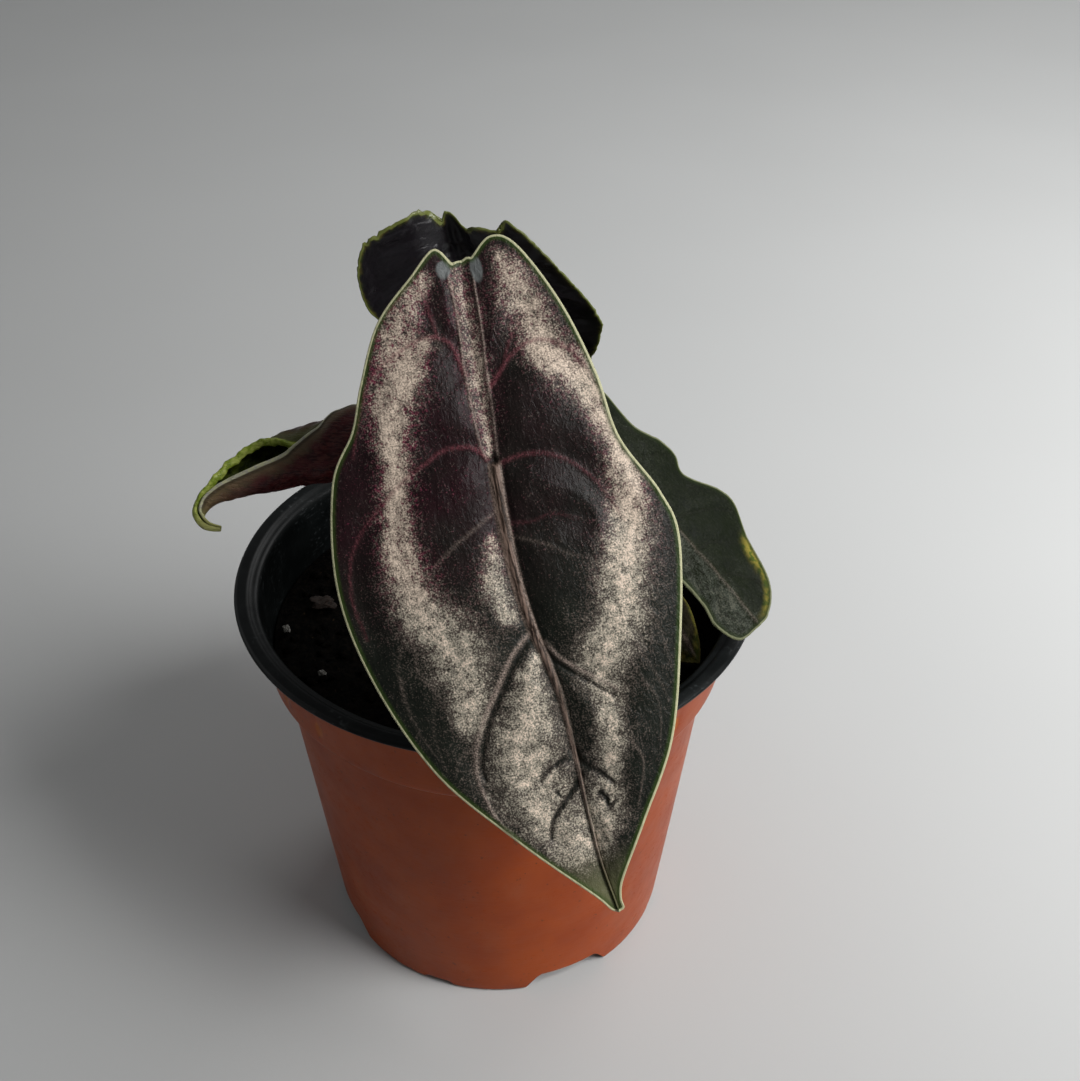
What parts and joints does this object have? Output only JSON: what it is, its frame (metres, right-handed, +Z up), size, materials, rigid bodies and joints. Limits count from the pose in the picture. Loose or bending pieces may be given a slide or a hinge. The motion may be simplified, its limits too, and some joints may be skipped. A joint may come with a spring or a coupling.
{
  "type": "potted alocasia",
  "caption": "Young alocasia with dark metallic arrow-shaped leaves, a rolled new leaf and a small old leaf, growing in soil in a tapered plastic nursery pot with a rolled rim.",
  "frame": {"origin": "on the pot's axis, on the flat disc under its base, level with the foot ring", "axes": "+Z up, -Y towards the front leaf's side, +X towards the right leaf; the rolled new leaf points to -X"},
  "size_m": [0.1227, 0.1415, 0.1884],
  "materials": {
    "pot_plastic": "satin",
    "potting_soil": "matte",
    "rhizome": "matte",
    "petiole": "satin",
    "old_petiole": "matte",
    "front_leaf": "satin",
    "back_leaf": "satin",
    "right_leaf": "satin",
    "new_leaf": "satin",
    "old_leaf": "matte",
    "sheath": "matte",
    "perlite": "matte",
    "bark": "matte"
  },
  "bodies": {
    "root": {"pot": "pot_plastic", "potting_soil": "potting_soil", "rhizome_and_roots": "rhizome", "front_leaf_blade": "front_leaf", "front_leaf_petiole": "petiole", "back_leaf_blade": "back_leaf", "back_leaf_petiole": "petiole", "right_leaf_blade": "right_leaf", "right_leaf_petiole": "petiole", "new_leaf_blade": "new_leaf", "new_leaf_petiole": "petiole", "old_leaf_blade": "old_leaf", "old_leaf_petiole": "old_petiole", "left_sheath": "sheath", "back_sheath": "sheath", "perlite_grain_1": "perlite", "perlite_grain_2": "perlite", "perlite_grain_3": "perlite", "perlite_grain_4": "perlite", "perlite_grain_5": "perlite", "bark_chip_1": "bark", "bark_chip_2": "bark", "bark_chip_3": "bark", "bark_chip_4": "bark", "bark_chip_5": "bark"}
  },
  "joints": []
}
